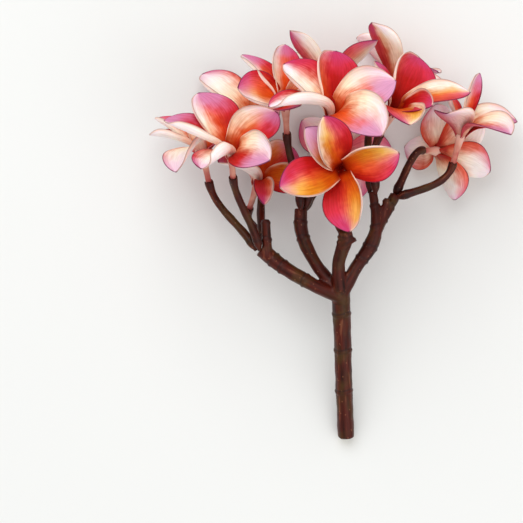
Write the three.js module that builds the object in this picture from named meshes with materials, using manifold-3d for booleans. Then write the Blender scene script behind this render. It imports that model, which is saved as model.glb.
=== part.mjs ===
// Plumeria flower cluster, cut at the foot of its stalk and laid on its back on a flat surface.
// Millimetres. +Z is up from the surface, +Y runs from the cut end of the stalk to the flowers.
// The origin is on the surface, under the middle of the whole cluster.
import * as THREE from "three";
import { mergeVertices } from "three/addons/utils/BufferGeometryUtils.js";
import Module from "manifold-3d";

const wasm = await Module();
wasm.setup();

// ---- Driving dimensions ----

const PETAL_LENGTH = 44; // along the middle of a petal, from inside the throat to the tip
const PETAL_HALF_WIDTH = 14;
const PETAL_THICKNESS = 1.0;
const RIM_THICKNESS = 0.6;
const PETAL_BASE_RADIUS = 2; // where the petals join the tube
const PETAL_BASE_DEPTH = 3; // below the throat
const TUBE_LENGTH = 20;
const TUBE_FOOT_RADIUS = 1.8;
const TUBE_FLARE_HEIGHT = 8; // the tube starts to widen this far above its foot
const TUBE_MOUTH_RADIUS = 3;
const TUBE_MOUTH_DEPTH = 1.5; // below the throat
const BORE_RADIUS = 1.1;
const BORE_DEPTH = 9;
const GAP = 0.3; // between pieces that touch

const PEDICEL_RADII = [2.7, 2.6, 2.4, 2.3, 2.2, 2.7]; // from its branch to its calyx
const PEDICEL_REACH = 0.36; // how far its ends run straight, as a share of the way between them

const TUBE_SIDES = 6;
const PEDICEL_SIDES = 6;
const STALK_SIDES = 8;

// A petal that meets the surface bends along it, and the bend is spread over a softness. The middle
// of its thickness comes down to a height, and is then pressed on so that its underside is flat.
const REST_HEIGHT = 0.4;
const REST_PRESS = 0.3;
const REST_SOFTNESS = 1.2;

// The fork of the stalk, seen from the middle of the cluster's footprint.
const FORK = new THREE.Vector3(3.5, -35.3, 40);

// ---- Small helpers ----

const radians = THREE.MathUtils.degToRad;
const vec = (x, y, z) => new THREE.Vector3(x, y, z);
const fromFork = (x, y, z) => vec(x, y, z).add(FORK);

/** 0 below a, 1 above b and a smooth rise between them. */
const smooth = (a, b, x) => THREE.MathUtils.smoothstep(x, a, b);

/** A repeatable number from -1 to 1 for two whole numbers, so that no two petals are alike. */
const vary = (i, j) => Math.sin(12.9898 * (i + 1) + 78.233 * (j + 1));

/**
 * A closed solid through rings of points. The rings have the same even number of points. The quads
 * of the two halves of a ring are cut along the same diagonal, so a thin solid stays even.
 */
function loft(rings) {
  const count = rings[0].length;
  const positions = rings.flat().flatMap((p) => [p.x, p.y, p.z]);
  const faces = [];
  rings.slice(1).forEach((_, r) => {
    for (let i = 0; i < count; i += 1) {
      const low = r * count + i;
      const next = r * count + ((i + 1) % count);
      if (i < count / 2) {
        faces.push(low, next, next + count, low, next + count, low + count);
      } else {
        faces.push(low, next, low + count, next, next + count, low + count);
      }
    }
  });
  const last = (rings.length - 1) * count;
  for (let i = 0; i < count / 2 - 1; i += 1) {
    const k = count - 1 - i;
    faces.push(i, k, k - 1, i, k - 1, i + 1);
    faces.push(last + i, last + k - 1, last + k, last + i, last + i + 1, last + k - 1);
  }
  return new THREE.BufferGeometry()
    .setAttribute("position", new THREE.Float32BufferAttribute(positions, 3))
    .setIndex(faces);
}

/** A three.js geometry as a manifold-3d solid. */
function solid(geometry) {
  const bare = geometry.clone().deleteAttribute("normal").deleteAttribute("uv");
  const merged = mergeVertices(bare, 1e-4);
  const vertProperties = merged.attributes.position.array;
  const triVerts = new Uint32Array(merged.index.array);
  return new wasm.Manifold(new wasm.Mesh({ numProp: 3, vertProperties, triVerts }));
}

/** A manifold-3d solid as a three.js geometry. */
function geometryOf(manifold) {
  const mesh = manifold.getMesh();
  const geometry = new THREE.BufferGeometry()
    .setAttribute("position", new THREE.BufferAttribute(new Float32Array(mesh.vertProperties), 3))
    .setIndex(new THREE.BufferAttribute(new Uint32Array(mesh.triVerts), 1));
  geometry.computeVertexNormals();
  return geometry;
}

// ---- Petals ----

const STEPS = 20; // the middle surface is worked out on a lattice this fine
const ROWS = [0, 4, 9, 15, 20]; // the lattice lines kept along a petal
const COLUMNS = [0, 7, 14, 20]; // and across it
const TIP_SHARE = 0.985;
const SLOPE_STEPS = 4; // a petal's slope is measured over this many lattice lines each way
const WIDEST = 0.6; // where a petal is widest, as a share of its length
const BASE_SHARE = 0.17; // its width at the base, as a share of its widest

/** A typical petal. Angles are in degrees, lengths and widths are shares of the usual ones. */
const PETAL = {
  azimuth: 0, // the way it points, round the flower's axis
  length: 1,
  width: 1,
  flare: [14, 60, 78], // away from the flower's axis at the base, a third of the way up and at the tip
  twist: 18, // lifts the edge that overlaps the next petal
  cup: 34, // how far each edge rises
  curl: 60, // how much further the overlapping edge rolls in
  fold: 0.6, // how far from the middle that roll starts, as a share of half the width
  sweep: -0.06, // moves the tip sideways, as a share of the length
  point: 0.6, // 0 is a round tip, 1 a sharp one
};

/** Half the width of a petal at a share of its length, as a share of its widest. */
function outline(share, point) {
  if (share < WIDEST) {
    const rise = Math.sin((Math.PI / 2) * (share / WIDEST)) ** 1.3;
    return BASE_SHARE + (1 - BASE_SHARE) * rise;
  }
  const past = (share - WIDEST) / (1 - WIDEST);
  return (1 - past ** 2) ** (0.5 + 0.4 * point);
}

/** The lattice of points in the middle of a petal's thickness, in its flower's frame. */
function petalLattice(petal, azimuth) {
  const outward = vec(Math.cos(azimuth), Math.sin(azimuth), 0);
  const axis = vec(0, 0, 1);
  const across = vec(-Math.sin(azimuth), Math.cos(azimuth), 0);
  const length = PETAL_LENGTH * petal.length;
  const step = (length * TIP_SHARE) / STEPS;
  const middle = outward.clone().multiplyScalar(PETAL_BASE_RADIUS).setZ(-PETAL_BASE_DEPTH);
  const lattice = [];
  for (let i = 0; i <= STEPS; i += 1) {
    const share = (i / STEPS) * TIP_SHARE;
    const [base, third, tip] = petal.flare;
    const lean = radians(
      base + (third - base) * smooth(0, 0.38, share) + (tip - third) * smooth(0.3, 1, share),
    );
    const along = outward.clone().multiplyScalar(Math.sin(lean)).addScaledVector(axis, Math.cos(lean));
    const up = outward.clone().multiplyScalar(-Math.cos(lean)).addScaledVector(axis, Math.sin(lean));
    const roll = radians(petal.twist) * smooth(0, 0.3, share);
    const side = across.clone().multiplyScalar(Math.cos(roll)).addScaledVector(up, Math.sin(roll));
    up.multiplyScalar(Math.cos(roll)).addScaledVector(across, -Math.sin(roll));
    const half = PETAL_HALF_WIDTH * petal.width * outline(share, petal.point);
    const cup = radians(petal.cup) * smooth(0, 0.25, share);
    const curl = radians(petal.curl) * smooth(0.05, 0.3, share) * (1 - smooth(0.8, 1, share));
    const centre = middle.clone().addScaledVector(side, petal.sweep * length * share ** 2);
    lattice.push(petalSection(centre, side, up, half, cup, curl, petal.fold));
    middle.addScaledVector(along, step);
  }
  return lattice;
}

/** One line of the lattice, across the petal from its tucked edge to its overlapping edge. */
function petalSection(centre, side, up, half, cup, curl, fold) {
  const spots = Array.from({ length: STEPS + 1 });
  const reach = (2 * half) / STEPS;
  const middle = STEPS / 2;
  spots[middle] = centre.clone();
  for (const way of [1, -1]) {
    let spot = centre.clone();
    for (let j = 1; j <= middle; j += 1) {
      const share = (way * (j - 0.5)) / middle;
      const rise = cup * share + curl * smooth(fold, 1, share);
      spot = spot
        .clone()
        .addScaledVector(side, way * reach * Math.cos(rise))
        .addScaledVector(up, way * reach * Math.sin(rise));
      spots[middle + way * j] = spot;
    }
  }
  return spots;
}

/** Lifts a point that would be under the surface, as a petal that is pressed on a table bends. */
function restOnSurface(point) {
  const above = point.z - REST_HEIGHT;
  point.z = REST_HEIGHT + (above + Math.hypot(above, REST_SOFTNESS)) / 2 - REST_PRESS;
  return point;
}

/** A petal as a closed solid, in its flower's frame. */
function petalSolid(petal, azimuth, toWorld) {
  const toFlower = toWorld.clone().invert();
  const lattice = petalLattice(petal, azimuth).map((line) =>
    line.map((p) => restOnSurface(p.applyMatrix4(toWorld)).applyMatrix4(toFlower)),
  );
  const rings = ROWS.map((row) => {
    const faces = [[], []];
    for (const column of COLUMNS) {
      const below = lattice[Math.max(row - SLOPE_STEPS, 0)][column];
      const above = lattice[Math.min(row + SLOPE_STEPS, STEPS)][column];
      const left = lattice[row][Math.max(column - SLOPE_STEPS, 0)];
      const right = lattice[row][Math.min(column + SLOPE_STEPS, STEPS)];
      const normal = above.clone().sub(below).cross(right.clone().sub(left)).normalize();
      const atRim = column === 0 || column === STEPS || row === STEPS;
      const half = (atRim ? RIM_THICKNESS : PETAL_THICKNESS) / 2;
      faces[0].unshift(lattice[row][column].clone().addScaledVector(normal, half));
      faces[1].push(lattice[row][column].clone().addScaledVector(normal, -half));
    }
    return faces.flat();
  });
  return solid(loft(rings));
}

// ---- Corollas: five petals joined in one tube ----

/** The tube under the petals, in the flower's frame, open at the throat. */
function tubeSolid() {
  const profile = [
    [0, -TUBE_LENGTH],
    [TUBE_FOOT_RADIUS, -TUBE_LENGTH],
    [TUBE_FOOT_RADIUS, TUBE_FLARE_HEIGHT - TUBE_LENGTH],
    [TUBE_MOUTH_RADIUS, -TUBE_MOUTH_DEPTH],
    [BORE_RADIUS, -PETAL_BASE_DEPTH],
    [BORE_RADIUS, -BORE_DEPTH],
    [0, -BORE_DEPTH],
  ].map(([radius, height]) => new THREE.Vector2(radius, height));
  const lathe = new THREE.LatheGeometry(profile, TUBE_SIDES);
  return solid(lathe.rotateX(Math.PI / 2));
}

/** The frame of a flower: the way it faces is its z axis. */
function flowerMatrix(flower) {
  const facing = vec(...flower.facing).normalize();
  const turn = new THREE.Quaternion().setFromUnitVectors(vec(0, 0, 1), facing);
  return new THREE.Matrix4().compose(fromFork(...flower.throat), turn, vec(1, 1, 1));
}

/** One flower's corolla as a mesh, placed by its throat and the way it faces. */
function corolla(flower, index) {
  const toWorld = flowerMatrix(flower);
  let joined = tubeSolid();
  flower.petals.forEach((own, k) => {
    const petal = { ...PETAL, ...flower.all, ...own };
    petal.length *= 1 + 0.03 * vary(index, k + 5);
    joined = joined.add(petalSolid(petal, radians(petal.azimuth), toWorld));
  });
  return piece("corolla_" + flower.name, joined.transform(toWorld.elements), PETAL_MATERIAL);
}

const PETAL_MATERIAL = new THREE.MeshStandardMaterial({ color: 0xe8546a, roughness: 0.5, metalness: 0 });
const STALK_MATERIAL = new THREE.MeshStandardMaterial({ color: 0x4a2a20, roughness: 0.6, metalness: 0 });

// ---- The stalk and its branches ----

/** A round stalk through points, each with a radius in its last place. */
function stalkSolid(knots) {
  const points = knots.map(([x, y, z]) => fromFork(x, y, z));
  const curve = new THREE.CatmullRomCurve3(points, false, "centripetal");
  const steps = (knots.length - 1) * 2;
  const frames = curve.computeFrenetFrames(steps);
  const rings = Array.from({ length: steps + 1 }, (_, i) => {
    const place = (i / steps) * (knots.length - 1);
    const before = Math.min(Math.floor(place), knots.length - 2);
    const radius = THREE.MathUtils.lerp(knots[before][3], knots[before + 1][3], place - before);
    return ring(curve.getPoint(i / steps), frames.normals[i], frames.binormals[i], radius, STALK_SIDES);
  });
  return solid(loft(rings));
}

/** Points round a circle, counter-clockwise about the way that it faces. */
function ring(centre, right, up, radius, sides) {
  return Array.from({ length: sides }, (_, i) => {
    const angle = (2 * Math.PI * i) / sides;
    return centre
      .clone()
      .addScaledVector(right, radius * Math.cos(angle))
      .addScaledVector(up, radius * Math.sin(angle));
  });
}

// Stalks as lists of points from the fork, each with a radius: x, y, z, radius.
const STALKS = {
  peduncle: [
    [4.5, -91, 4.8 - FORK.z, 5.2],
    [2.5, -50, -20, 5.3],
    [1, -12, -5, 5.7],
    [0, 3, 0, 6],
  ],
  left: [
    [0, -4, 0, 4.5],
    [-14, 2, 1, 4.2],
    [-36, 15, 3, 4.6],
    [-48, 25, 4, 5],
  ],
  left_stub: [
    [-44, 22, 5, 3.2],
    [-45.5, 43, 8, 2.8],
  ],
  mid_left: [
    [-2, 0, -2, 4.2],
    [-16, 18, -3, 3.8],
    [-23.5, 36, -4, 4.2],
    [-24, 50, -4, 4],
  ],
  middle: [
    [0, 0, 2, 4.4],
    [-1, 16, 5, 4],
    [3, 31, 9, 4.8],
    [3, 36, 11, 4.2],
  ],
  middle_spur: [
    [3, 28, 10, 2],
    [9.5, 31, 12, 1.5],
  ],
  right: [
    [1, -2, 0, 4.6],
    [10, 14, 1, 4],
    [19, 28, 2, 4.8],
    [22, 38, 3, 3.8],
    [21, 52, 2, 2.9],
    [20, 60, 2, 2.8],
  ],
  far_right: [
    [22, 35, 3, 3.4],
    [27, 45, 1, 3.2],
    [34, 58, -3, 3.4],
  ],
  far_right_stub: [
    [25, 40, 2, 2.4],
    [28.5, 56, 3, 2],
  ],
};

/** The peduncle with its branches, grown as one piece; grow makes it stouter all over. */
function stalkWhole(grow = 0) {
  const solids = Object.values(STALKS).map((knots) =>
    stalkSolid(knots.map(([x, y, z, radius]) => [x, y, z, radius + grow])),
  );
  return solids.reduce((whole, part) => whole.add(part));
}

/** A pedicel from its branch to the foot of its flower, with the small calyx at its end. */
function pedicelSolid(flower, grow = 0) {
  const toWorld = flowerMatrix(flower);
  const facing = vec(...flower.facing).normalize();
  const foot = vec(0, 0, -TUBE_LENGTH - GAP).applyMatrix4(toWorld);
  const start = fromFork(...flower.from);
  const reach = start.distanceTo(foot) * PEDICEL_REACH;
  const lead = vec(...(flower.lead ?? [0, 1, 0.1])).normalize();
  const curve = new THREE.CubicBezierCurve3(
    start,
    start.clone().addScaledVector(lead, reach),
    foot.clone().addScaledVector(facing, -reach),
    foot,
  );
  const steps = PEDICEL_RADII.length - 1;
  const frames = curve.computeFrenetFrames(steps);
  const rings = PEDICEL_RADII.map((radius, i) =>
    ring(
      curve.getPoint(i / steps),
      frames.normals[i],
      frames.binormals[i],
      radius + grow,
      PEDICEL_SIDES,
    ),
  );
  return solid(loft(rings));
}

// ---- The flowers ----

// Each flower: where its throat is from the fork, the way it faces, where its pedicel starts,
// and its petals, counter-clockwise as they are seen from its front.
const FLOWERS = [
  {
    name: "front",
    throat: [-0.6, 73, 52],
    facing: [0, -0.1, 1],
    from: [4.5, 34, 13],
    lead: [0, 0.9, 0.5],
    petals: [
      { azimuth: 21 },
      { azimuth: 112, width: 0.95, flare: [14, 46, 72] },
      { azimuth: 134, width: 0.8, flare: [14, 50, 70] },
      { azimuth: 199, width: 1.05 },
      { azimuth: 282, width: 1.05, flare: [14, 60, 86] },
    ],
  },
  {
    name: "crown",
    throat: [-5, 106, 37],
    facing: [0.1, 0.78, 0.62],
    from: [0, 34, 9],
    lead: [-0.1, 1, 0.1],
    petals: [
      { azimuth: 20, length: 1.06, width: 1.2, point: 0.9 },
      { azimuth: 92, width: 1.2 },
      { azimuth: 150, length: 1.04, width: 1.25, twist: 2, curl: 40 },
      { azimuth: 208, length: 1.15, flare: [14, 66, 92], curl: 95, fold: 0.2 },
      { azimuth: 311, length: 1.15, width: 1.3, flare: [14, 68, 104] },
    ],
  },
  {
    name: "left_front",
    throat: [-66, 82, 42],
    facing: [-0.05, 0.7, 0.7],
    from: [-49, 24, 8],
    lead: [-0.2, 1, 0.3],
    petals: [
      { azimuth: 49, length: 0.9, width: 1.08, sweep: -0.2 },
      { azimuth: 115, width: 1.12, twist: 5, sweep: 0.1, point: 0.8 },
      { azimuth: 172, length: 1.12, curl: 80, fold: 0.35 },
      { azimuth: 246, length: 0.9, curl: 110, fold: 0.1 },
      { azimuth: 318, length: 0.97, width: 1.1 },
    ],
  },
  {
    name: "upper_left",
    throat: [-33.5, 112, 22],
    facing: [-0.05, 0.87, 0.5],
    from: [-24, 48, -1],
    petals: [
      { azimuth: 12, length: 0.74 },
      { azimuth: 94, width: 0.74, flare: [14, 54, 70] },
      { azimuth: 136, length: 1.08, width: 0.8 },
      { azimuth: 194, length: 0.74, width: 1.05, twist: -30 },
      { azimuth: 302, length: 0.55 },
    ],
  },
  {
    name: "upper_right",
    throat: [32, 108, 27],
    facing: [0.4, 0.7, 0.55],
    from: [21.5, 58, 4],
    petals: [
      { azimuth: 10, length: 1.15, width: 0.8, twist: -5 },
      { azimuth: 68, length: 1.02, width: 1.25, point: 0.8 },
      { azimuth: 122, length: 0.8, width: 0.6 },
      { azimuth: 262 },
      { azimuth: 308, length: 0.75, flare: [10, 35, 50] },
    ],
  },
  {
    name: "right",
    throat: [74, 96, 0],
    facing: [0.25, 0.95, 0.17],
    from: [34, 56, -1],
    lead: [0.95, 0.4, 0.1],
    petals: [
      { azimuth: 17, length: 0.9, flare: [14, 65, 85] },
      { azimuth: 76, length: 1.1, width: 0.42, flare: [10, 35, 50], cup: 70 },
      { azimuth: 125, length: 0.8, width: 0.7, flare: [12, 45, 60] },
      { azimuth: 232, length: 0.7 },
      { azimuth: 306, flare: [14, 70, 100] },
    ],
  },
  {
    name: "low_left",
    throat: [-50, 66, -15],
    facing: [0.25, 0.75, 0.5],
    from: [-44, 25, 2],
    lead: [-0.1, 0.9, -0.3],
    petals: [
      { azimuth: 48, length: 0.8 },
      { azimuth: 130, length: 0.75 },
      { azimuth: 200, length: 0.85 },
      { azimuth: 268, length: 0.95, width: 0.5, flare: [14, 70, 105] },
      { azimuth: 340, length: 0.74, flare: [14, 70, 95] },
    ],
  },
  {
    name: "far_left",
    throat: [-84, 84, 2],
    facing: [-0.2, 0.9, 0.35],
    from: [-51, 24, 3],
    lead: [-0.55, 1, 0],
    petals: [
      { azimuth: 78, length: 0.6, flare: [12, 45, 60] },
      { azimuth: 145 },
      { azimuth: 177, length: 0.8 },
      { azimuth: 262, length: 1.12, flare: [14, 75, 118] },
      { azimuth: 2, length: 0.85 },
    ],
  },
  {
    name: "top_left",
    throat: [-54, 106, -20.5],
    facing: [-0.26, 0.72, 0.64],
    from: [-45, 26, -2],
    lead: [-0.35, 1, -0.2],
    petals: [
      { azimuth: 145, width: 1.1 },
      { azimuth: 172, length: 0.75 },
      { azimuth: 262, length: 0.6 },
      { azimuth: 325, length: 0.85 },
      { azimuth: 25, length: 0.85 },
    ],
  },
  {
    name: "top",
    throat: [-7, 125, -9.5],
    facing: [-0.08, 0.93, -0.35],
    from: [-21, 49, -3],
    lead: [0.2, 1, 0],
    petals: [
      { azimuth: 247, length: 1.08, width: 0.5, flare: [14, 54, 72], point: 0.9 },
      { azimuth: 336, width: 0.62, flare: [30, 62, 74], twist: -10, point: 0.9 },
      { azimuth: 45, length: 0.75 },
      { azimuth: 120, length: 0.82, width: 0.45, flare: [12, 25, 32], point: 0.9 },
      { azimuth: 175, length: 0.9 },
    ],
  },
  {
    name: "top_right",
    throat: [32, 125, -16],
    facing: [0.49, 0.85, -0.17],
    from: [18, 59, 0],
    lead: [0.1, 1, 0],
    petals: [
      { azimuth: 198, length: 1.12, width: 0.8, point: 0.8 },
      { azimuth: 282, length: 0.9 },
      { azimuth: 355 },
      { azimuth: 60 },
      { azimuth: 125 },
    ],
  },
  {
    name: "low_right",
    throat: [60, 85, -11],
    facing: [0.5, 0, -0.85],
    from: [33, 57, -5],
    lead: [0.5, 0.9, 0.3],
    all: { length: 0.82 },
    petals: [{ azimuth: 78 }, { azimuth: 143 }, { azimuth: 208 }, { azimuth: 266 }, { azimuth: 10 }],
  },
  {
    name: "back",
    throat: [2, 84, -22.5],
    facing: [0, 0.1, -1],
    from: [-22, 47, -7],
    lead: [0.3, 1, 0],
    all: { length: 0.85 },
    petals: [{ azimuth: 6 }, { azimuth: 78 }, { azimuth: 150 }, { azimuth: 222 }, { azimuth: 294 }],
  },
];

/** A named mesh of a solid that stands on the surface. */
function piece(name, whole, material) {
  const mesh = new THREE.Mesh(geometryOf(whole.trimByPlane([0, 0, 1], 0)), material.clone());
  mesh.name = name;
  return mesh;
}

const cluster = new THREE.Group();
cluster.add(piece("stalk", stalkWhole(), STALK_MATERIAL));
const clearOf = [stalkWhole(GAP)];
FLOWERS.forEach((flower, index) => {
  const pedicel = clearOf.reduce((left, neighbour) => left.subtract(neighbour), pedicelSolid(flower));
  clearOf.push(pedicelSolid(flower, GAP));
  cluster.add(corolla(flower, index), piece("pedicel_" + flower.name, pedicel, STALK_MATERIAL));
});

export default cluster;
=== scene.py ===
"""A picked plumeria flower cluster that lies on its back: petals, calyces, pedicels and forked stalk."""

import logging
import math
from dataclasses import dataclass, field
from enum import Enum
from typing import Iterable, NamedTuple, Sequence

import bpy
from mathutils import Matrix, Vector, kdtree, noise


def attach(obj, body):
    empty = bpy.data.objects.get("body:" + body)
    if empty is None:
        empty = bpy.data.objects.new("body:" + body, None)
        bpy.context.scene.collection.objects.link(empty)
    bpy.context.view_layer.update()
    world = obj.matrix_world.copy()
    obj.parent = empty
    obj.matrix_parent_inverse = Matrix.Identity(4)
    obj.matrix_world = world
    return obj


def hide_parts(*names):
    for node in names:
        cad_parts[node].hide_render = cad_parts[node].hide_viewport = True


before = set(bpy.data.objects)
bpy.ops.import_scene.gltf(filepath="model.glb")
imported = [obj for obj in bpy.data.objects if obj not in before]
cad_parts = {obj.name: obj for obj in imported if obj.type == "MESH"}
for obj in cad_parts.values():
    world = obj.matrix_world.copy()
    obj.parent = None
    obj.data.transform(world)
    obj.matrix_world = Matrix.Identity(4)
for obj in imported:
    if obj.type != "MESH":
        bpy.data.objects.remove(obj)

LOG = logging.getLogger("plumeria")

MM = 0.001
GAP = 0.3  # mm, between a flower's tube and its calyx, as on the frame
FORK = Vector((3.5, -35.3, 40.0))  # mm, where the stalk forks
PETAL_COUNT = 5
SCATTER = (12.9898, 78.233)  # any two numbers that are far from whole ones

Rgba = tuple[float, float, float, float]
Reach = tuple[float, float, float, float]  # how far cream, gold, crimson and magenta reach on a petal
Place = tuple[float, float, float]
Pair = tuple[float, float]
Triple = tuple[float, float, float]
Span = tuple[float, float]  # where something starts and where it ends
Stops = tuple[tuple[float, str], ...]  # a colour ramp's places and hex colours
Ring = list[Vector]
Face = tuple[int, ...]
Feed = bpy.types.Node | bpy.types.NodeSocket  # what can feed a node's input

SHARE, UNDER, OVER = 0, 6, 7  # the numbers of the inputs of a Mix node that mixes colours
COLOURS = {"data_type": "RGBA"}
EASED = {"interpolation_type": "SMOOTHSTEP"}


# ---- Helpers ----


def hex_colour(text: str) -> Rgba:
    """Turns an sRGB hex colour into linear values, by the curve of the sRGB standard.

    Args:
        text: six hex digits, such as "C8324B".

    Returns:
        Linear red, green and blue with an alpha of 1.
    """
    parts = [int(text[i : i + 2], 16) / 255 for i in (0, 2, 4)]
    linear = [c / 12.92 if c <= 0.04045 else ((c + 0.055) / 1.055) ** 2.4 for c in parts]
    return (linear[0], linear[1], linear[2], 1.0)


def per_metre(size_mm: float) -> float:
    """The texture scale, on coordinates in metres, of a pattern whose features have this size."""
    return 1.0 / (size_mm * MM)


def smooth(low: float, high: float, value: float) -> float:
    """0 below low, 1 above high and a smooth rise between them."""
    share = min(max((value - low) / (high - low), 0.0), 1.0)
    return share * share * (3 - 2 * share)


def mix(a: float, b: float, share: float) -> float:
    """The number at a share of the way from a to b."""
    return a + (b - a) * share


def hump(away: float, width: float) -> float:
    """1 in the middle of a bell-shaped rise of some width, and less the further away."""
    return math.exp(-((away / width) ** 2))


def vary(i: int, j: int) -> float:
    """A repeatable number from -1 to 1 for two whole numbers, so that no two petals are alike."""
    return math.sin(SCATTER[0] * (i + 1) + SCATTER[1] * (j + 1))


def span(place: Span, result: Span = (0.0, 1.0)) -> dict[str, float]:
    """The inputs with which a MapRange node turns one stretch of numbers into another."""
    return {"From Min": place[0], "From Max": place[1], "To Min": result[0], "To Max": result[1]}


def add_node(
    tree: bpy.types.NodeTree,
    kind: str,
    inputs: dict | None = None,
    stops: Stops = (),
    **settings: object,
) -> bpy.types.Node:
    """Adds a shader node with its settings and links.

    Args:
        tree: the material's node tree.
        kind: the node's type, without the ShaderNode that it starts with.
        inputs: for each input, by name or number, a value, the output socket that feeds it or the
            node whose first output does.
        stops: a colour ramp's places and hex colours.
        settings: the node's own properties.

    Returns:
        The new node.
    """
    node = tree.nodes.new("ShaderNode" + kind)
    for name, value in settings.items():
        setattr(node, name, value)
    for index, (place, colour) in enumerate(stops):
        elements = node.color_ramp.elements
        stop = elements[index] if index < 2 else elements.new(place)
        stop.position = place
        stop.color = hex_colour(colour)
    for name, value in (inputs or {}).items():
        if isinstance(value, bpy.types.Node):
            value = next(output for output in value.outputs if output.enabled)
        if isinstance(value, bpy.types.NodeSocket):
            tree.links.new(value, node.inputs[name])
        else:
            node.inputs[name].default_value = value
    return node


def new_material(name: str) -> tuple[bpy.types.Material, bpy.types.NodeTree]:
    """Makes an empty material with nodes.

    Args:
        name: the material's name.

    Returns:
        The material and its node tree.
    """
    material = bpy.data.materials.new(name)
    material.use_nodes = True
    material.node_tree.nodes.clear()
    return material, material.node_tree


def make_active(piece: bpy.types.Object, others: Iterable[bpy.types.Object] = ()) -> None:
    """Selects some pieces and nothing else.

    Args:
        piece: the piece that also becomes the active one.
        others: the other pieces.
    """
    bpy.ops.object.select_all(action="DESELECT")
    for item in (piece, *others):
        item.select_set(True)
    bpy.context.view_layer.objects.active = piece


def loft(rings: list[Ring]) -> tuple[list[Vector], list[Face]]:
    """A closed skin over rings of points.

    Args:
        rings: rings with the same number of points, counter-clockwise about the way from the first
            ring to the last one.

    Returns:
        The points and the faces.
    """
    count = len(rings[0])
    last = (len(rings) - 1) * count
    points = [point for ring in rings for point in ring]
    faces: list[Face] = []
    for low in range(0, last, count):
        for i in range(count):
            j = (i + 1) % count
            faces.append((low + i, low + j, low + count + j, low + count + i))
    faces.append(tuple(reversed(range(count))))
    faces.append(tuple(range(last, last + count)))
    return points, faces


def keep_above_surface(points: Iterable[Vector]) -> None:
    """Raises points that would be under the surface onto it."""
    for point in points:
        point.z = max(point.z, 0.0)


def mesh_piece(name: str, points: list[Vector], faces: list[Face]) -> bpy.types.Object:
    """A smooth mesh object from points in millimetres and faces.

    Args:
        name: the piece's name.
        points: its points in the model's frame, in millimetres.
        faces: its faces, as numbers of points.

    Returns:
        The object, at the origin, with its place in its mesh.
    """
    mesh = bpy.data.meshes.new(name)
    mesh.from_pydata([tuple(point * MM) for point in points], [], faces)
    mesh.shade_smooth()
    piece = bpy.data.objects.new(name, mesh)
    bpy.context.scene.collection.objects.link(piece)
    return piece


class Kind(Enum):
    """What an attribute holds at each point: its type in Blender and the key of its values."""

    NUMBER = ("FLOAT", "value")
    VECTOR = ("FLOAT_VECTOR", "vector")
    COLOUR = ("FLOAT_COLOR", "color")


def write_numbers(mesh: bpy.types.Mesh, name: str, kind: Kind, values: Sequence) -> None:
    """Gives a mesh a named attribute with a value at each point.

    Args:
        mesh: the mesh.
        name: the attribute's name, which a material reads.
        kind: what the attribute holds.
        values: one number or tuple for each point.
    """
    kind_name, key = kind.value
    layer = mesh.attributes.new(name, kind_name, "POINT")
    flat = values if kind is Kind.NUMBER else [number for value in values for number in value]
    layer.data.foreach_set(key, flat)


# ---- Finishes ----


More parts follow.
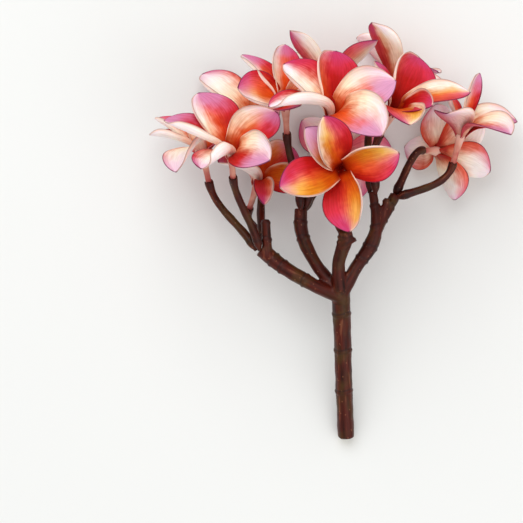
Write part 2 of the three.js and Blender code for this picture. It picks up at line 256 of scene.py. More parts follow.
@dataclass(frozen=True)
class PetalFlesh:
    """Plumeria petal: waxy, fleshy and a little translucent, so light sinks in and highlights are soft.

    A petal's colours run into each other from its base to its tip: dark red in the throat, then orange,
    gold towards the lapped edge, crimson at the tucked one, cream along the lapped rim and a magenta end.
    Fine veins run along it, about a millimetre apart.

    A border says between which two places one colour gives way to another. Across a petal they run from
    0 at its tucked edge to 1 at its lapped one, and along it from 0 in the throat to 1 at the tip.
    """

    heart: Stops = (
        (0.0, "961804"), (0.1, "AC2404"), (0.22, "C83806"), (0.4, "E04C14"), (0.6, "E65E3A"), (0.8, "E4666C"),
        (1.0, "E07E9A"),
    )
    golden: Stops = (
        (0.0, "9A1E08"), (0.2, "B83606"), (0.42, "CC5A08"), (0.6, "DA841A"), (0.8, "EEB450"), (1.0, "F8D4AC"),
    )
    red: Stops = ((0.0, "801004"), (0.25, "A00E04"), (0.5, "BC1816"), (0.75, "CE2C40"), (1.0, "C23C70"))
    cream: Stops = ((0.0, "DC5C2C"), (0.2, "F2A068"), (0.46, "FDE9CC"), (0.8, "FFF6F0"), (1.0, "FAE0EE"))
    outer_cream: Stops = ((0.0, "CE6A62"), (0.15, "F0BEA6"), (0.42, "FFF4EC"), (1.0, "FCE8EC"))
    outer_rose: Stops = ((0.0, "AE2C3C"), (0.3, "DE6070"), (0.7, "F090A2"), (1.0, "C85488"))
    end_deep: str = "C2487E"
    end_light: str = "D6A2C6"
    # the rim: partly the curled lapped edge's own pale colour, partly a painted highlight on the curl
    rim: str = "F4CCB6"
    streak: str = "7A160E"
    outline: str = "5E1E38"

    # borders across the petal, which its own colouring moves
    gold_border: Span = (0.3, 0.72)
    red_border: Span = (-0.22, 0.22)
    cream_border: Span = (0.8, 1.24)
    outer_border: Span = (0.12, 0.62)

    # borders along the petal: where the cream begins, and the magenta end, which is weaker over cream
    cream_begins: Span = (0.08, 0.42)
    end_border: Span = (0.84, 1.22)
    end_strength: float = 0.85
    end_over_cream: float = 0.45
    end_turns_light: Span = (0.1, 0.45)

    # dark streaks in the throat, along the deepest veins
    streaks_end: Span = (0.06, 0.34)
    streaks_in_veins: Span = (0.48, 0.66)
    streak_strength: float = 0.8

    # the pale rim, partly the curled edge's own pale colour and partly a painted highlight on the curl,
    # and the dark outline, by how near the edge a spot is and on which side
    rim_near_edge: Span = (0.0, 0.4)
    rim_border: Span = (0.6, 0.8)
    rim_strength: float = 0.75
    outline_near_edge: Span = (0.45, 0.9)
    outline_border: Span = (0.5, 1.0)
    outline_strength: float = 0.8
    outline_over_rim: float = 0.6

    # the patterns that move every border, and the relief of the veins
    cloud_mm: float = 9.0
    cloud_values: Span = (0.25, 0.75)
    cloud_drift: float = 0.06  # how far the clouds move a border
    vein_mm: float = 1.0
    vein_values: Span = (0.2, 0.8)
    vein_drift: float = 0.035
    shade_values: Span = (0.3, 0.7)
    vein_shades: Span = (0.9, 1.06)
    vein_depth_mm: float = 0.12
    vein_strength: float = 0.35
    petal_width_mm: float = 28.0
    vein_changes: float = 5.0  # how often a vein's shade changes along a petal

    # how the flesh takes light
    roughness: float = 0.46
    shine: float = 0.12
    refraction: float = 1.42
    light_inside: float = 0.15
    light_depth_mm: float = 0.8
    light_reach: Triple = (1.0, 0.4, 0.22)  # red light goes deeper into the flesh than green and blue

    def inner(
        self, tree: bpy.types.NodeTree, side: Feed, way: Feed, reaches: Sequence[Feed], veins: Feed
    ) -> bpy.types.Node:
        """The colours of a petal's inner face.

        Args:
            tree: the material's node tree.
            side: how far a spot is from the tucked edge towards the lapped one.
            way: how far it is from the petal's base to its tip.
            reaches: how far the cream, the gold, the crimson and the magenta reach.
            veins: the pattern of the veins.

        Returns:
            The node that gives the colour.
        """
        pale, gold, crimson, lilac = reaches
        heart, golden, red, cream = (
            add_node(tree, "ValToRGB", {0: way}, stops)
            for stops in (self.heart, self.golden, self.red, self.cream)
        )
        past_gold = add_node(tree, "MapRange", {0: side, **span(self.gold_border)}, **EASED)
        gold_share = add_node(tree, "Math", {0: past_gold, 1: gold}, operation="MULTIPLY")
        colour = add_node(tree, "Mix", {SHARE: gold_share, UNDER: heart, OVER: golden}, **COLOURS)

        from_crimson = add_node(tree, "Math", {0: side, 1: crimson}, operation="SUBTRACT")
        in_red = span(self.red_border, (1.0, 0.0))
        red_share = add_node(tree, "MapRange", {0: from_crimson, **in_red}, **EASED)
        colour = add_node(tree, "Mix", {SHARE: red_share, UNDER: colour, OVER: red}, **COLOURS)

        above_throat = add_node(tree, "MapRange", {0: way, **span(self.cream_begins)}, **EASED)
        towards_cream = add_node(tree, "Math", {0: side, 1: pale}, operation="ADD")
        in_cream = add_node(tree, "MapRange", {0: towards_cream, **span(self.cream_border)}, **EASED)
        cream_share = add_node(tree, "Math", {0: in_cream, 1: above_throat}, operation="MULTIPLY")
        colour = add_node(tree, "Mix", {SHARE: cream_share, UNDER: colour, OVER: cream}, **COLOURS)

        towards_end = add_node(tree, "Math", {0: way, 1: lilac}, operation="ADD")
        in_end = span(self.end_border, (0.0, self.end_strength))
        at_end = add_node(tree, "MapRange", {0: towards_end, **in_end}, **EASED)
        over_cream = span((0.0, 1.0), (1.0, self.end_over_cream))
        off_cream = add_node(tree, "MapRange", {0: cream_share, **over_cream}, **EASED)
        end_share = add_node(tree, "Math", {0: at_end, 1: off_cream}, operation="MULTIPLY")
        lightness = add_node(tree, "MapRange", {0: lilac, **span(self.end_turns_light)}, **EASED)
        ends = {UNDER: hex_colour(self.end_deep), OVER: hex_colour(self.end_light)}
        end = add_node(tree, "Mix", {SHARE: lightness, **ends}, **COLOURS)
        colour = add_node(tree, "Mix", {SHARE: end_share, UNDER: colour, OVER: end}, **COLOURS)

        in_throat = span(self.streaks_end, (self.streak_strength, 0.0))
        near_throat = add_node(tree, "MapRange", {0: way, **in_throat}, **EASED)
        dark_veins = add_node(tree, "MapRange", {0: veins, **span(self.streaks_in_veins)}, **EASED)
        streaks = add_node(tree, "Math", {0: near_throat, 1: dark_veins}, operation="MULTIPLY")
        streaked = {SHARE: streaks, UNDER: colour, OVER: hex_colour(self.streak)}
        return add_node(tree, "Mix", streaked, **COLOURS)

    def outer(self, tree: bpy.types.NodeTree, side: Feed, way: Feed) -> bpy.types.Node:
        """The colours of a petal's outer face: cream where it is lapped, rose where it is tucked.

        Args:
            tree: the material's node tree.
            side: how far a spot is from the tucked edge towards the lapped one.
            way: how far it is from the petal's base to its tip.

        Returns:
            The node that gives the colour.
        """
        cream, rose = (
            add_node(tree, "ValToRGB", {0: way}, stops) for stops in (self.outer_cream, self.outer_rose)
        )
        cream_share = add_node(tree, "MapRange", {0: side, **span(self.outer_border)}, **EASED)
        return add_node(tree, "Mix", {SHARE: cream_share, UNDER: rose, OVER: cream}, **COLOURS)

    def edges(self, tree: bpy.types.NodeTree, skin: Feed, edge: Feed, across: Feed) -> bpy.types.Node:
        """Lays a pale thick rim on the lapped edge, partly the curled edge's own pale colour and partly a
        painted highlight on the curl, and a fine dark line along every edge.

        Args:
            tree: the material's node tree.
            skin: the petal's colours so far.
            edge: how near a spot is to the petal's edge.
            across: where it is, from the tucked edge to the lapped one.

        Returns:
            The node that gives the colour.
        """
        rim_here = span(self.rim_near_edge, (0.0, self.rim_strength))
        line_here = span(self.outline_near_edge, (0.0, self.outline_strength))
        line_fades = span(self.outline_border, (1.0, self.outline_over_rim))
        for near, sideways, colour in (
            (rim_here, span(self.rim_border), self.rim),
            (line_here, line_fades, self.outline),
        ):
            near_edge = add_node(tree, "MapRange", {0: edge, **near}, **EASED)
            this_side = add_node(tree, "MapRange", {0: across, **sideways}, **EASED)
            share = add_node(tree, "Math", {0: near_edge, 1: this_side}, operation="MULTIPLY")
            skin = add_node(tree, "Mix", {SHARE: share, UNDER: skin, OVER: hex_colour(colour)}, **COLOURS)
        return skin

    def material(self) -> bpy.types.Material:
        """Builds the petal material from the petal's own map and its colouring.

        Returns:
            The material.
        """
        material, tree = new_material("plumeria_petal")
        petal_map = add_node(tree, "UVMap", uv_map="petal")
        spot = add_node(tree, "SeparateXYZ", {0: petal_map})
        across, along = spot.outputs["X"], spot.outputs["Y"]
        reach = add_node(tree, "Attribute", attribute_name="reach")
        reaches = [*add_node(tree, "SeparateColor", {0: reach}).outputs, reach.outputs["Alpha"]]
        edge, outside, glow, seed = (
            add_node(tree, "Attribute", attribute_name=name).outputs["Fac"]
            for name in ("edge", "outside", "glow", "seed")
        )

        # soft clouds and veins move every border between two colours
        place = add_node(tree, "TexCoord").outputs["Object"]
        cloud_inputs = {"Vector": place, "Scale": per_metre(self.cloud_mm), "Detail": 2.0}
        cloud = add_node(tree, "TexNoise", cloud_inputs)
        stretch = (self.petal_width_mm / self.vein_mm, self.vein_changes / self.vein_mm, 0.0)
        stretched = add_node(tree, "VectorMath", {0: petal_map, 1: stretch}, operation="MULTIPLY")
        vein_inputs = {"Vector": stretched, "W": seed, "Scale": 1.0, "Detail": 3.0}
        vein = add_node(tree, "TexNoise", vein_inputs, noise_dimensions="4D")
        sway = span(self.cloud_values, (-self.cloud_drift, self.cloud_drift))
        fray = span(self.vein_values, (-self.vein_drift, self.vein_drift))
        swaying = add_node(tree, "MapRange", {0: cloud, **sway}, **EASED)
        fraying = add_node(tree, "MapRange", {0: vein, **fray}, **EASED)
        drift = add_node(tree, "Math", {0: swaying, 1: fraying}, operation="ADD")
        side, way = (add_node(tree, "Math", {0: line, 1: drift}, operation="ADD") for line in (across, along))

        inner = self.inner(tree, side, way, reaches, vein)
        outer = self.outer(tree, side, way)
        # painted light shining through: the outer face takes on the inner face's colours as far as the glow
        # says
        outer = add_node(tree, "Mix", {SHARE: glow, UNDER: outer, OVER: inner}, **COLOURS)
        skin = add_node(tree, "Mix", {SHARE: outside, UNDER: inner, OVER: outer}, **COLOURS)
        skin = self.edges(tree, skin, edge, across)
        shade = add_node(tree, "MapRange", {0: vein, **span(self.shade_values, self.vein_shades)}, **EASED)
        skin = add_node(tree, "HueSaturation", {"Value": shade, "Color": skin})
        relief_inputs = {"Height": vein, "Strength": self.vein_strength, "Distance": self.vein_depth_mm * MM}
        surface = add_node(
            tree, "BsdfPrincipled",
            {
                "Base Color": skin,
                "Roughness": self.roughness,
                "IOR": self.refraction,
                "Specular IOR Level": self.shine,
                "Subsurface Weight": self.light_inside,
                "Subsurface Radius": self.light_reach,
                "Subsurface Scale": self.light_depth_mm * MM,
                "Normal": add_node(tree, "Bump", relief_inputs),
            },
        )
        add_node(tree, "OutputMaterial", {0: surface})
        return material


@dataclass(frozen=True)
class StemSkin:
    """Half-woody plumeria stem: smooth maroon-brown skin with olive patches, creases and pale flecks.

    The skin is a little waxy, so it has long soft highlights. Its creases run along the stem, about two
    millimetres apart, and its pale flecks are pores under a millimetre across. The skin is near black
    in the grooves of the creases and red on their ridges, and pale streaks along the highest ridges are
    painted highlights. Scars are nearly black, and the cut end shows pale pith. A border says between
    which two numbers of its pattern a colour comes in.
    """

    dark: str = "1C0603"
    red: str = "621E10"
    olive: str = "4A3312"
    # pale is both the pores' flecks and the painted highlights along the ridges
    pale: str = "905C40"
    scarred: str = "241110"
    pith: str = "DCCB9C"
    dark_to_red: Span = (0.25, 0.85)
    olive_border: Span = (0.45, 0.68)
    olive_strength: float = 0.75
    # painted highlights: pale streaks along the highest ridges of the creases
    ridge_highlight_border: Span = (0.62, 0.72)
    ridge_highlight_strength: float = 0.4
    fleck_border: Span = (0.1, 0.16)
    fleck_strength: float = 0.5
    scar_strength: float = 0.7
    patch_mm: float = 16.0
    crease_mm: float = 2.2
    crease_stretch: float = 0.12
    crease_depth_mm: float = 0.2
    crease_strength: float = 0.35
    fleck_mm: float = 3.2  # from one fleck to the next
    roughness: float = 0.36
    refraction: float = 1.45
    shine: float = 0.18
    wax: float = 0.06
    wax_roughness: float = 0.25

    def material(self) -> bpy.types.Material:
        """Builds the stem material on coordinates that follow each stem, in millimetres.

        Returns:
            The material.
        """
        material, tree = new_material("plumeria_stem_skin")
        grain = add_node(tree, "Attribute", attribute_name="grain").outputs["Vector"]
        cut = add_node(tree, "Attribute", attribute_name="cut").outputs["Fac"]
        scar = add_node(tree, "Attribute", attribute_name="scar").outputs["Fac"]
        place = add_node(tree, "TexCoord").outputs["Object"]
        patch_inputs = {"Vector": place, "Scale": per_metre(self.patch_mm), "Detail": 3.0}
        patch = add_node(tree, "TexNoise", patch_inputs)
        stretch = (1.0, 1.0, self.crease_stretch)
        stretched = add_node(tree, "VectorMath", {0: grain, 1: stretch}, operation="MULTIPLY")
        crease_inputs = {"Vector": stretched, "Scale": 1 / self.crease_mm, "Detail": 4.0}
        crease = add_node(tree, "TexNoise", crease_inputs)
        pores = add_node(tree, "TexVoronoi", {"Vector": grain, "Scale": 1 / self.fleck_mm})

        patches = span(self.olive_border, (0.0, self.olive_strength))
        # the ridge highlights are painted light; the olive patches and the flecks are the skin's own colour
        ridge_highlights = span(self.ridge_highlight_border, (0.0, self.ridge_highlight_strength))
        flecks = span(self.fleck_border, (self.fleck_strength, 0.0))
        in_patch = add_node(tree, "MapRange", {0: patch, **patches}, **EASED)
        painted_ridge_highlight = add_node(tree, "MapRange", {0: crease, **ridge_highlights})
        in_fleck = add_node(tree, "MapRange", {0: pores, **flecks})
        in_scar = add_node(tree, "Math", {0: scar, 1: self.scar_strength}, operation="MULTIPLY")
        shades = ((self.dark_to_red[0], self.dark), (self.dark_to_red[1], self.red))
        skin = add_node(tree, "ValToRGB", {0: crease}, shades)
        # lays olive patches, painted ridge highlights, pale flecks, dark scars and the pith over the skin
        for share, colour in (
            (in_patch, self.olive),
            (painted_ridge_highlight, self.pale),
            (in_fleck, self.pale),
            (in_scar, self.scarred),
            (cut, self.pith),
        ):
            skin = add_node(tree, "Mix", {SHARE: share, UNDER: skin, OVER: hex_colour(colour)}, **COLOURS)
        relief_inputs = {
            "Height": crease, "Strength": self.crease_strength, "Distance": self.crease_depth_mm * MM,
        }
        surface = add_node(
            tree, "BsdfPrincipled",
            {
                "Base Color": skin,
                "Roughness": self.roughness,
                "IOR": self.refraction,
                "Specular IOR Level": self.shine,
                "Coat Weight": self.wax,
                "Coat Roughness": self.wax_roughness,
                "Normal": add_node(tree, "Bump", relief_inputs),
            },
        )
        add_node(tree, "OutputMaterial", {0: surface})
        return material


@dataclass(frozen=True)
class Paper:
    """Matt white paper under the cluster: pale and even, so that it only catches soft shadows."""

    colour: str = "E4E5E3"
    roughness: float = 0.9
    tooth_mm: float = 0.8
    tooth_depth_mm: float = 0.05
    tooth_strength: float = 0.1

    def material(self) -> bpy.types.Material:
        """Builds the paper's material, with its fine tooth.

        Returns:
            The material.
        """
        material, tree = new_material("white_paper")
        place = add_node(tree, "TexCoord").outputs["Object"]
        tooth = add_node(tree, "TexNoise", {"Vector": place, "Scale": per_metre(self.tooth_mm)})
        relief_inputs = {
            "Height": tooth, "Strength": self.tooth_strength, "Distance": self.tooth_depth_mm * MM,
        }
        relief = add_node(tree, "Bump", relief_inputs)
        surface_inputs = {
            "Base Color": hex_colour(self.colour), "Roughness": self.roughness, "Normal": relief,
        }
        surface = add_node(tree, "BsdfPrincipled", surface_inputs)
        add_node(tree, "OutputMaterial", {0: surface})
        return material


# ---- Flowers ----


@dataclass(frozen=True)
class Surface:
    """How petals bend along the surface that the cluster lies on, in millimetres, as on the frame."""

    height: float = 0.4
    press: float = 0.3
    softness: float = 1.2

    def bend(self, point: Vector) -> Vector:
        """Lifts a point that would be under the surface, as a pressed petal bends along it.

        Args:
            point: a point in the middle of a petal's thickness, in the model's frame.

        Returns:
            Where it comes to lie.
        """
        above = point.z - self.height
        lifted = self.height + (above + math.hypot(above, self.softness)) / 2 - self.press
        return Vector((point.x, point.y, lifted))


@dataclass(frozen=True)
class Petal:
    """The shape and the colouring of one petal. Angles are in degrees, the rest are shares.

    A petal's tucked edge lies under its neighbour and its lapped edge over the other one. Flare is how
    far it leans out at its base, a third of the way along and at its tip, cup how far its edges rise
    and curl how much further the lapped edge rolls in, from the fold outwards. Sweep takes the tip
    sideways, and point makes it sharper.

    Pale, gold and crimson say how much of the petal is cream-white at the lapped edge, golden in the
    middle and crimson at the tucked edge, and lilac how far its pink end reaches. Glow is how much of
    the inner face's colour is painted on the outer face, as painted light shining through the thin
    petal.
    """

    azimuth: float = 0.0
    length: float = 1.0
    width: float = 1.0
    flare: Triple = (14.0, 60.0, 78.0)
    twist: float = 18.0
    cup: float = 34.0
    curl: float = 60.0
    fold: float = 0.6
    sweep: float = -0.06
    point: float = 0.6
    pale: float = 0.3
    gold: float = 0.5
    crimson: float = 0.35
    lilac: float = 0.2
    glow: float = 0.15


class Mark(NamedTuple):
    """What the petal material reads at one point: its place, how near the edge and whether outside."""

    across: float
    along: float
    edge: float
    outside: float


@dataclass
class Skin:
    """A closed skin in millimetres, with a mark for each point and what is the same all over it."""

    points: list[Vector]
    faces: list[Face]
    marks: list[Mark]
    reach: Reach
    glow: float
    seed: float


@dataclass(frozen=True)
class PetalForm:
    """The shape that all petals share. Lengths are in millimetres, and the rest are shares.

    A petal's skin has rows of points along it and columns across it, from its tucked edge to its lapped
    one. A stretch is a part of its length, from 0 at its base to 1 at its tip.
    """

    length: float = 44.0
    length_spread: float = 0.03  # how much petals differ in length
    half_width: float = 14.0
    thickness: float = 1.0
    rim_thickness: float = 0.6
    rim_sharpness: int = 6
    thin_tip: Span = (0.93, 1.0)
    base_radius: float = 2.0
    base_depth: float = 3.0
    base_share: float = 0.17
    base_swell: float = 1.3
    widest: float = 0.6
    tip_roundness: float = 0.5
    tip_sharpening: float = 0.4
    rows: int = 44
    columns: int = 28
    tip_share: float = 0.998  # the skin ends just short of the point

    # the stretch along which a petal takes on each part of its shape
    leans_out: Span = (0.0, 0.38)
    bows_out: Span = (0.3, 1.0)
    twists: Span = (0.0, 0.3)
    cups: Span = (0.0, 0.25)
    curls: Span = (0.05, 0.3)
    uncurls: Span = (0.8, 1.0)
    ripples: Span = (0.15, 0.5)
    ripple_height: float = 0.45
    ripple_along: float = 9.0  # radians of wave from base to tip
    ripple_across: float = 2.4  # radians from the middle to an edge
    seed_range: float = 7.3  # how far apart the waves and the veins of two petals can start

    # the edge that the material colours
    edge_width: float = 1.4
    edge_begins: Span = (0.2, 0.5)
    narrowest: float = 0.05  # the least width that the edge is measured on

    def outline(self, share: float, point: float) -> float:
        """A petal's width along its length.

        Args:
            share: a share of the petal's length.
            point: how sharp its tip is.

        Returns:
            The width there, as a share of its widest.
        """
        if share < self.widest:
            rise = math.sin(math.pi / 2 * share / self.widest) ** self.base_swell
            return mix(self.base_share, 1.0, rise)
        past = (share - self.widest) / (1 - self.widest)
        return (1 - past**2) ** (self.tip_roundness + self.tip_sharpening * point)

    def line(
        self, centre: Vector, side: Vector, up: Vector, half: float, cup: float, curl: float, fold: float
    ) -> Ring:
        """One line of points across a petal, from its tucked edge to its lapped edge.

        Args:
            centre: the middle of the line.
            side: the way across, towards the lapped edge.
            up: the way out of the petal's inner face.
            half: half the petal's width there.
            cup: how far the edges rise, in radians.
            curl: how much further the lapped edge rolls in, in radians.
            fold: how far from the middle that roll starts, as a share of half the width.

        Returns:
            The points of the line.
        """
        middle = self.columns // 2
        reach = half / middle
        spots = {middle: centre.copy()}
        for sign in (1, -1):
            spot = centre.copy()
            for j in range(1, middle + 1):
                share = sign * (j - 0.5) / middle
                rise = cup * share + curl * smooth(fold, 1.0, share)
                spot = spot + side * (sign * reach * math.cos(rise)) + up * (sign * reach * math.sin(rise))
                spots[middle + sign * j] = spot
        return [spots[j] for j in range(self.columns + 1)]

    def lattice(self, petal: Petal, length: float, seed: float) -> list[Ring]:
        """The points in the middle of a petal's thickness.

        Args:
            petal: its own shape.
            length: its length in millimetres.
            seed: where its ripple starts.

        Returns:
            Lines of points in the flower's own frame, from the petal's base to its tip.
        """
        azimuth = math.radians(petal.azimuth)
        outward = Vector((math.cos(azimuth), math.sin(azimuth), 0))
        across = Vector((-math.sin(azimuth), math.cos(azimuth), 0))
        axis = Vector((0, 0, 1))
        middle = outward * self.base_radius - axis * self.base_depth
        base, third, tip = petal.flare
        lines = []
        for i in range(self.rows + 1):
            share = i / self.rows * self.tip_share
            leaning, bowing = smooth(*self.leans_out, share), smooth(*self.bows_out, share)
            lean = math.radians(base + (third - base) * leaning + (tip - third) * bowing)
            along = outward * math.sin(lean) + axis * math.cos(lean)
            up = axis * math.sin(lean) - outward * math.cos(lean)
            roll = math.radians(petal.twist) * smooth(*self.twists, share)
            side = across * math.cos(roll) + up * math.sin(roll)
            up = up * math.cos(roll) - across * math.sin(roll)
            half = self.half_width * petal.width * self.outline(share, petal.point)
            cup = math.radians(petal.cup) * smooth(*self.cups, share)
            curl = math.radians(petal.curl) * smooth(*self.curls, share) * (1 - smooth(*self.uncurls, share))
            centre = middle + side * (petal.sweep * length * share**2)
            line = self.line(centre, side, up, half, cup, curl, petal.fold)
            height = self.ripple_height * smooth(*self.ripples, share)
            for j, spot in enumerate(line):
                away = 2 * j / self.columns - 1
                wave = math.sin(self.ripple_along * share + self.ripple_across * away + seed)
                line[j] = spot + up * (height * away**2 * wave)
            lines.append(line)
            middle = middle + along * (length * self.tip_share / self.rows)
        return lines

    def skin(self, petal: Petal, to_world: Matrix, surface: Surface, flower: int, number: int) -> Skin:
        """A petal's closed skin.

        Args:
            petal: its own shape and colouring.
            to_world: the flower's own frame.
            surface: the surface that it may be pressed on.
            flower: which flower of the cluster it belongs to.
            number: which petal of the flower it is.

        Returns:
            The skin in the model's frame, with its marks.
        """
        # the 3 and the 5 keep a petal's seed apart from its length
        seed = self.seed_range * vary(flower + 3, number)
        length = self.length * petal.length * (1 + self.length_spread * vary(flower, number + 5))
        lattice = [
            [surface.bend(to_world @ spot) for spot in line] for line in self.lattice(petal, length, seed)
        ]
        rings: list[Ring] = []
        marks: list[Mark] = []
        for row, line in enumerate(lattice):
            inner, outer, inner_marks, outer_marks = [], [], [], []
            share = row / self.rows
            outline = max(self.outline(share * self.tip_share, petal.point), self.narrowest)
            width = self.half_width * petal.width * outline
            for column, spot in enumerate(line):
                below, above = lattice[max(row - 1, 0)][column], lattice[min(row + 1, self.rows)][column]
                left, right = line[max(column - 1, 0)], line[min(column + 1, self.columns)]
                normal = (above - below).cross(right - left).normalized()
                across = column / self.columns
                away = abs(2 * across - 1)
                thin = max(away**self.rim_sharpness, smooth(*self.thin_tip, share))
                half = mix(self.thickness, self.rim_thickness, thin) / 2
                if column in (0, self.columns):
                    half /= 2
                inner.append(spot + normal * half)
                outer.append(spot - normal * half)
                to_edge = min((1 - away) * width, (1 - share) * length)
                edge = max(0.0, 1 - to_edge / self.edge_width) * smooth(*self.edge_begins, share)
                inner_marks.append(Mark(across, share, edge, 0.0))
                outer_marks.append(Mark(across, share, edge, 1.0))
            rings.append([*reversed(inner), *outer])
            marks += [*reversed(inner_marks), *outer_marks]
        points, faces = loft(rings)
        keep_above_surface(points)
        reach = (petal.pale, petal.gold, petal.crimson, petal.lilac)
        return Skin(points, faces, marks, reach, petal.glow, seed)


@dataclass(frozen=True)
class Tube:
    """The slender tube under the petals, open at the throat. Lengths are in millimetres.

    Its wall is a list of radii with their heights over the throat: up its outside, over its lip and
    down its bore. Its colours are places on the petal material, as shares of a petal's length.
    """

    length: float = 20.0
    foot: tuple[Pair, ...] = ((0.4, 0.0), (1.6, 0.0), (1.8, 0.5))  # heights over its lower end
    outside: tuple[Pair, ...] = (
        (1.75, -16.0), (1.8, -12.0), (2.05, -9.0), (2.4, -6.0), (2.75, -3.6), (3.0, -2.0), (2.9, -1.4),
    )
    bore: tuple[Pair, ...] = ((2.4, -1.5), (1.6, -2.4), (1.1, -3.6), (1.1, -5.0), (0.3, -5.6))
    sides: int = 24
    lobe_height: float = 0.05
    lobe_turn: float = 1.2
    foot_colour: float = 0.02
    colour_rise: float = 0.2
    bore_colour: float = 0.15
    reach: Reach = (0.0, 0.0, 0.6, 0.0)
    # glow: how much of the petal colours are painted on the tube's outside, as painted light shining through
    # its wall
    glow: float = 0.3

    def skin(self, to_world: Matrix, flower: int) -> Skin:
        """The tube's closed skin.

        Args:
            to_world: the flower's own frame.
            flower: which flower of the cluster it belongs to.

        Returns:
            The skin in the model's frame, with its marks.
        """
        outside = [(radius, height - self.length) for radius, height in self.foot] + [*self.outside]
        rings: list[Ring] = []
        marks: list[Mark] = []
        for k, (radius, height) in enumerate([*outside, *self.bore]):
            ring = []
            for i in range(self.sides):
                angle = 2 * math.pi * i / self.sides
                lobed = radius * (1 + self.lobe_height * math.cos(PETAL_COUNT * angle + self.lobe_turn))
                ring.append(to_world @ Vector((lobed * math.cos(angle), lobed * math.sin(angle), height)))
            rings.append(ring)
            mark = Mark(0.5, self.bore_colour, 0.0, 0.0)
            if k < len(outside):
                mark = Mark(0.5, self.foot_colour + self.colour_rise * (1 + height / self.length), 0.0, 1.0)
            marks += [mark] * self.sides
        points, faces = loft(rings)
        return Skin(points, faces, marks, self.reach, self.glow, float(flower))


@dataclass(frozen=True)
class Pedicel:
    """A flower's own short stem and its calyx, a cup of five small teeth. Lengths are in millimetres.

    Its radii are evenly spaced from its branch to the calyx. A calyx ring says how far in it lies, as a
    share of the cup's wall, and how high. Its joint is the ring where the flower drops.
    """

    radii: tuple[float, ...] = (2.7, 2.6, 2.4, 2.3, 2.2, 2.7)
    reach: float = 0.36
    sides: int = 20
    steps: int = 40
    waver: float = 0.03
    waver_along: float = 0.5
    root_taper: float = 0.4  # its root is narrower, so that it hides in the branch
    root_length: float = 5.0
    joint_place: float = 7.0
    joint_width: float = 1.3
    joint_swell: float = 0.1
    crease_height: float = 0.045
    crease_round: float = 2.0  # how fast the creases change round the stem
    crease_along: float = 0.09  # and along it
    calyx_rings: tuple[Pair, ...] = ((0.0, 0.9), (0.35, 1.5), (0.75, 1.2), (1.0, 0.35))
    calyx_wall: float = 0.55
    tooth_valley: float = 0.35
    grain_shift: float = 50.0  # so that no two pedicels have the same pattern

    def curve(self, start: Vector, lead: Vector, foot: Vector, facing: Vector) -> Ring:
        """The pedicel's middle line, one smooth bend.

        Args:
            start: where it starts, inside its branch.
            lead: the way it starts.
            foot: where it ends, under the flower's tube.
            facing: the way the flower faces.

        Returns:
            The points of the line.
        """
        reach = (foot - start).length * self.reach
        first, second = start + lead * reach, foot - facing * reach
        spots = []
        for i in range(self.steps + 1):
            t = i / self.steps
            ends = start * (1 - t) ** 3 + foot * t**3
            spots.append(ends + first * (3 * t * (1 - t) ** 2) + second * (3 * t * t * (1 - t)))
        return spots

    def radius(self, share: float) -> float:
        """The pedicel's plain radius along its length.

        Args:
            share: a share of its length, from 0 in its branch to 1 at the calyx.

        Returns:
            The radius there in millimetres.
        """
        place = share * (len(self.radii) - 1)
        low = min(int(place), len(self.radii) - 2)
        return mix(self.radii[low], self.radii[low + 1], smooth(0, 1, place - low))

    def shape(self, spots: Ring, facing: Vector, flower: int) -> tuple[list[Ring], list[Place], list[float]]:
        """The pedicel's rings of points with what the stem material reads.

        Args:
            spots: the points of its middle line.
            facing: the way the flower faces.
            flower: which flower of the cluster it carries.

        Returns:
            The rings, and for each point its place on the stem and how much it is a scar.
        """
        angles = [2 * math.pi * k / self.sides for k in range(self.sides)]
        shift = self.grain_shift * flower
        rings, grain, scar = [], [], []
        right = Vector((0, 0, 1)).cross(spots[1] - spots[0]).normalized()
        run = 0.0
        for i, spot in enumerate(spots):
            before, after = spots[max(i - 1, 0)], spots[min(i + 1, self.steps)]
            way = (after - before).normalized()
            right = (right - way * right.dot(way)).normalized()
            up = way.cross(right)
            run += (spot - before).length
            joint = hump(run - self.joint_place, self.joint_width)
            waver = self.waver * math.sin(run * self.waver_along + flower)
            radius = self.radius(i / self.steps) * (1 + self.joint_swell * joint + waver)
            radius *= mix(self.root_taper, 1.0, smooth(0, self.root_length, run))
            ring = []
            for angle in angles:
                around = Vector((math.cos(angle), math.sin(angle), 0)) * self.crease_round
                crease = noise.noise(Vector((around.x, around.y, run * self.crease_along)))
                arm = right * math.cos(angle) + up * math.sin(angle)
                ring.append(spot + arm * (radius * (1 + self.crease_height * crease)))
                grain.append((radius * math.cos(angle), radius * math.sin(angle), run + shift))
                scar.append(joint)
            rings.append(ring)
        for inward, lift in self.calyx_rings:
            radius = self.radii[-1] - self.calyx_wall * inward
            ring = []
            for angle in angles:
                tooth = mix(self.tooth_valley, 1.0, abs(math.cos(PETAL_COUNT / 2 * angle)))
                arm = right * math.cos(angle) + up * math.sin(angle)
                ring.append(spots[-1] + arm * radius + facing * (lift * tooth))
                grain.append((radius * math.cos(angle), radius * math.sin(angle), run + lift + shift))
                scar.append(0.0)
            rings.append(ring)
        return rings, grain, scar


